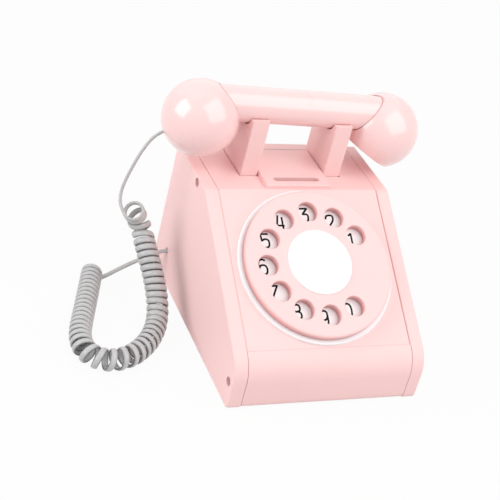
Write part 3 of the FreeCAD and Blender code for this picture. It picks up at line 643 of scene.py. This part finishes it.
def cord_mesh(path, ways, ahead, touching):
    """Flat tube along the path, closed at both ends, with a UV map along it.

    Where curls touch, the attribute of painted shade between curls rises from 0 on the broad sides
    to 1 at the edges that lie against the next curl. Elsewhere it is 0.
    """
    section = flat_section()
    reach = reaches(path)
    bm = bmesh.new()
    uv = bm.loops.layers.uv.new("along_cord")
    groove_shade = bm.verts.layers.float.new("groove_shade")
    rings = []
    for place, way, go, touches in zip(path, ways, ahead, touching):
        across = go.cross(way)
        ring = [bm.verts.new(place + across * broad + way * thin) for broad, thin in section]
        for vertex, (broad, _) in zip(ring, section):
            # Share of painted shade: full at the edges that lie against the next curl.
            vertex[groove_shade] = (2 * broad / sizes().cord_width) ** 2 if touches else 0.0
        rings.append(ring)
    for index, (ring, after) in enumerate(zip(rings, rings[1:])):
        for side in range(SECTION_SIDES):
            beside = (side + 1) % SECTION_SIDES
            face = bm.faces.new((ring[side], ring[beside], after[beside], after[side]))
            face.smooth = True
            marks = ((index, side), (index, side + 1), (index + 1, side + 1), (index + 1, side))
            for loop, (along, turn) in zip(face.loops, marks):
                loop[uv].uv = (reach[along], turn / SECTION_SIDES)
    bm.faces.new(rings[0])
    bm.faces.new(rings[-1])
    bmesh.ops.recalc_face_normals(bm, faces=bm.faces)
    mesh = bpy.data.meshes.new("curly_cord")
    bm.to_mesh(mesh)
    bm.free()
    return mesh


def fitted_board(node, lower_edge=0.0):
    """Copy of a board between the side panels, pushed up to the left one as in the photograph.

    Where a size is given for it, the lower front edge is rounded like the side panels' corners.
    """
    bm = bmesh.new()
    bm.from_mesh(frame["nodes"][node].data)
    bmesh.ops.remove_doubles(bm, verts=bm.verts, dist=MERGE)
    bmesh.ops.dissolve_limit(bm, angle_limit=FLAT_ANGLE, verts=bm.verts, edges=bm.edges)
    left, front = (min(vertex.co[axis] for vertex in bm.verts) for axis in (0, 1))
    left_end = [vertex for vertex in bm.verts if vertex.co.x < left + ON_END]
    bmesh.ops.translate(bm, vec=(-sizes().left_push, 0.0, 0.0), verts=left_end)
    if lower_edge:
        low_front = {vertex for vertex in bm.verts
                     if vertex.co.z < ON_EDGE and vertex.co.y < front + ON_EDGE}
        edges = [edge for edge in bm.edges if low_front.issuperset(edge.verts)]
        bmesh.ops.bevel(bm, geom=edges, offset=lower_edge, offset_type="OFFSET", affect="EDGES",
                        segments=ROUNDING_STEPS, profile=0.5, material=-1)
    for face in bm.faces:
        face.smooth = True
    for edge in bm.edges:
        edge.smooth = edge.calc_face_angle(0.0) < SHARP_ANGLE
    mesh = bpy.data.meshes.new("fitted_" + node)
    bm.to_mesh(mesh)
    bm.free()
    return mesh


def digit_mesh():
    """Ring of printed digits under the finger holes, the one first, all upright.

    Each stroke is a round line pressed flat to the thickness of the ink.
    """
    size = sizes()
    flat = Matrix.Diagonal((1.0, 1.0, size.ink_thickness / size.digit_stroke, 1.0))
    bm = bmesh.new()
    for index, digit in enumerate("1234567890"):
        bearing = size.first_angle + index * size.step_angle + size.digit_turn
        middle = Vector((size.ring_radius * math.cos(bearing) - size.digit_left,
                         size.ring_radius * math.sin(bearing) - size.digit_down, size.plate_top))
        strokes = [[Vector((x, y, 0.0)) * MM for x, y in places] for places in DIGITS[digit]]
        mesh = curve_mesh(strokes, DIGIT_POINTS, bevel_depth=size.digit_stroke / 2,
                          bevel_resolution=2, use_fill_caps=True)
        mesh.transform(ON_PANEL @ Matrix.Translation(middle) @ flat)
        bm.from_mesh(mesh)
        bpy.data.meshes.remove(mesh)
    bmesh.ops.recalc_face_normals(bm, faces=bm.faces)
    mesh = bpy.data.meshes.new("dial_digits")
    bm.to_mesh(mesh)
    bm.free()
    return mesh


def seen_directly(tree):
    """Output that is 1 for the camera's rays, also by way of a gloss, and 0 for other light."""
    rays = add(tree, "ShaderNodeLightPath").outputs
    seen = add(tree, "ShaderNodeMath", {0: rays["Is Camera Ray"], 1: rays["Is Glossy Ray"]},
               operation="MAXIMUM")
    return seen.outputs["Value"]


def pale_paper():
    """Matte background paper: to the eye almost white all over, with only a light shadow left."""
    made, tree, shader = new_material("pale_paper", Roughness=0.9, Specular_IOR_Level=0.1,
                                      Base_Color=linear(FLOOR_COLOUR) + (1.0,))
    share = add(tree, "ShaderNodeMath", {0: seen_directly(tree), 1: FLOOR_GLOW},
                operation="MULTIPLY")
    glow = add(tree, "ShaderNodeEmission", {"Color": WHITE, "Strength": 1.0})
    both = add(tree, "ShaderNodeMixShader", {
        0: share.outputs["Value"], 1: shader.outputs["BSDF"], 2: glow.outputs["Emission"]})
    tree.links.new(both.outputs["Shader"], tree.nodes["Material Output"].inputs["Surface"])
    return made


def floor():
    """Plain pale floor that keeps a light shadow."""
    bm = bmesh.new()
    bmesh.ops.create_circle(bm, cap_ends=True, segments=FLOOR_SIDES, radius=FLOOR_RADIUS)
    mesh = bpy.data.meshes.new("floor")
    bm.to_mesh(mesh)
    bm.free()
    link_piece("floor", mesh, pale_paper())


def surroundings():
    """Even white surroundings, which light the object less than they show."""
    world = bpy.data.worlds.new("white_studio")
    bpy.context.scene.world = world
    world.use_nodes = True
    tree = world.node_tree
    background = tree.nodes["Background"]
    background.inputs["Color"].default_value = WHITE
    strength = add(tree, "ShaderNodeMapRange", {
        "Value": seen_directly(tree), "To Min": WORLD_FILL, "To Max": 1.0})
    tree.links.new(strength.outputs["Result"], background.inputs["Strength"])


def soft_lights():
    """Three large softboxes: left, front right and high behind."""
    for name, (way, power, side) in SOFTBOXES.items():
        lamp = bpy.data.lights.new(name, "AREA")
        lamp.energy = power
        lamp.size = side
        holder = bpy.data.objects.new(name, lamp)
        bpy.context.scene.collection.objects.link(holder)
        direction = Vector(way).normalized()
        holder.location = Vector(SOFTBOX_AIM) + direction * SOFTBOX_DISTANCE
        holder.rotation_mode = "QUATERNION"
        holder.rotation_quaternion = (-direction).to_track_quat("-Z", "Y")


def camera():
    """Camera at the photograph's place, a little rolled."""
    view = bpy.data.cameras.new("camera")
    view.sensor_width = CAMERA_SENSOR
    view.lens = CAMERA_LENS
    holder = bpy.data.objects.new("camera", view)
    bpy.context.scene.collection.objects.link(holder)
    turn = Matrix((CAMERA_RIGHT, CAMERA_UP, CAMERA_BACK)).transposed().to_4x4()
    holder.matrix_world = Matrix.Translation(Vector(CAMERA_PLACE) * MM) @ turn
    bpy.context.scene.camera = holder


class PHONE_OT_stage(bpy.types.Operator):
    """Set the floor, the surroundings, the soft lights and the camera"""
    bl_idname = "phone.stage"
    bl_label = "Set stage"

    def execute(self, context):
        floor()
        surroundings()
        soft_lights()
        camera()
        return {"FINISHED"}


class PHONE_OT_cord(bpy.types.Operator):
    """Lay the flat curly cord from the cabinet to the handset"""
    bl_idname = "phone.cord"
    bl_label = "Lay cord"

    def execute(self, context):
        route, known = cord_route()
        path = spline_points(route, CORD_POINTS)
        mesh = cord_mesh(path, *thin_ways(path, known))
        piece = link_piece("curly_cord", mesh, cord_jacket())
        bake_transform(piece)
        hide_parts("coiled_cord", "handset_strand", "cabinet_strand")
        return {"FINISHED"}


class PHONE_OT_cabinet(bpy.types.Operator):
    """Fit and paint the cabinet's boards, the slot plate and the cradle posts"""
    bl_idname = "phone.cabinet"
    bl_label = "Paint cabinet"

    def execute(self, context):
        pink = satin_paint("satin_pink_paint", finishes().paint)
        front = joint_paint("satin_pink_paint_on_front", *FRONT_JOINT)
        back = joint_paint("satin_pink_paint_on_back", *BACK_JOINT)
        finish_nodes(pink, "left_side_panel", "right_side_panel", "base_board", "slot_plate",
                     "left_cradle_post", "right_cradle_post")
        finish_nodes(back, "back_panel")
        for node, finish, lower_edge in (("front_panel", front, 0.0), ("top_panel", pink, 0.0),
                                         ("lower_front_block", front, sizes().nose_edge)):
            board = fitted_board(node, lower_edge)
            piece = link_piece(board.name, board, finish)
            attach(piece, "cabinet")
            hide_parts(node)
        return {"FINISHED"}


class PHONE_OT_dial(bpy.types.Operator):
    """Paint the dial's wheel, its white plate and centre, and print the digits"""
    bl_idname = "phone.dial"
    bl_label = "Paint dial"

    def execute(self, context):
        white = satin_paint("satin_white_paint", finishes().white, roughness=0.42)
        finish_nodes(white, "number_plate", "dial_centre_cap")
        finish_nodes(wheel_paint(), "finger_wheel")
        piece = link_piece("dial_digits", digit_mesh(), printed_ink())
        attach(piece, "cabinet")
        return {"FINISHED"}


class PHONE_OT_handset(bpy.types.Operator):
    """Paint the handset's bar and its two balls"""
    bl_idname = "phone.handset"
    bl_label = "Paint handset"

    def execute(self, context):
        finish_nodes(handset_paint(), "left_ball", "right_ball", "handset_bar")
        return {"FINISHED"}


class PHONE_OT_fittings(bpy.types.Operator):
    """Finish the side screws and the fittings inside"""
    bl_idname = "phone.fittings"
    bl_label = "Finish fittings"

    def execute(self, context):
        # Thin paint over the screw heads, darkened as painted shade of their recesses.
        screws = satin_paint("thin_paint_over_steel_with_painted_shade", finishes().screw_paint_and_shade, roughness=0.5)
        finish_nodes(screws, "side_screws")
        finish_nodes(zinc_steel(), "dial_spindle", "spindle_washer", "spindle_nut")
        finish_nodes(moulded_nylon(), "dial_bush", "handset_cord_ferrule")
        finish_nodes(bare_wood(), "handset_dowels", "cabinet_cord_anchor")
        return {"FINISHED"}


class PHONE_PT_panel(bpy.types.Panel):
    """List of the steps, the sizes and the colours"""
    bl_idname = "PHONE_PT_panel"
    bl_label = "Toy phone"
    bl_space_type = "VIEW_3D"
    bl_region_type = "UI"
    bl_category = "Toy phone"

    def draw(self, context):
        for operator in OPERATORS:
            self.layout.operator(operator.bl_idname)
        for group in (context.scene.phone_sizes, context.scene.phone_finishes):
            for key in group.__annotations__:
                self.layout.prop(group, key)


OPERATORS = (PHONE_OT_stage, PHONE_OT_cord, PHONE_OT_cabinet, PHONE_OT_dial, PHONE_OT_handset,
             PHONE_OT_fittings)
CLASSES = (PhoneFinishes, PhoneSizes) + OPERATORS + (PHONE_PT_panel,)


def register():
    """Register the classes and give the scene its colours and sizes."""
    for kind in CLASSES:
        bpy.utils.register_class(kind)
    bpy.types.Scene.phone_finishes = PointerProperty(type=PhoneFinishes)
    bpy.types.Scene.phone_sizes = PointerProperty(type=PhoneSizes)


def unregister():
    """Take back what register did."""
    del bpy.types.Scene.phone_sizes
    del bpy.types.Scene.phone_finishes
    for kind in reversed(CLASSES):
        bpy.utils.unregister_class(kind)


def main():
    """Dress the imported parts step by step."""
    register()
    bpy.context.scene.view_settings.view_transform = "Standard"
    bpy.ops.phone.stage()
    bpy.ops.phone.cord()
    bpy.ops.phone.cabinet()
    bpy.ops.phone.dial()
    bpy.ops.phone.handset()
    bpy.ops.phone.fittings()


if __name__ == "__main__":
    main()
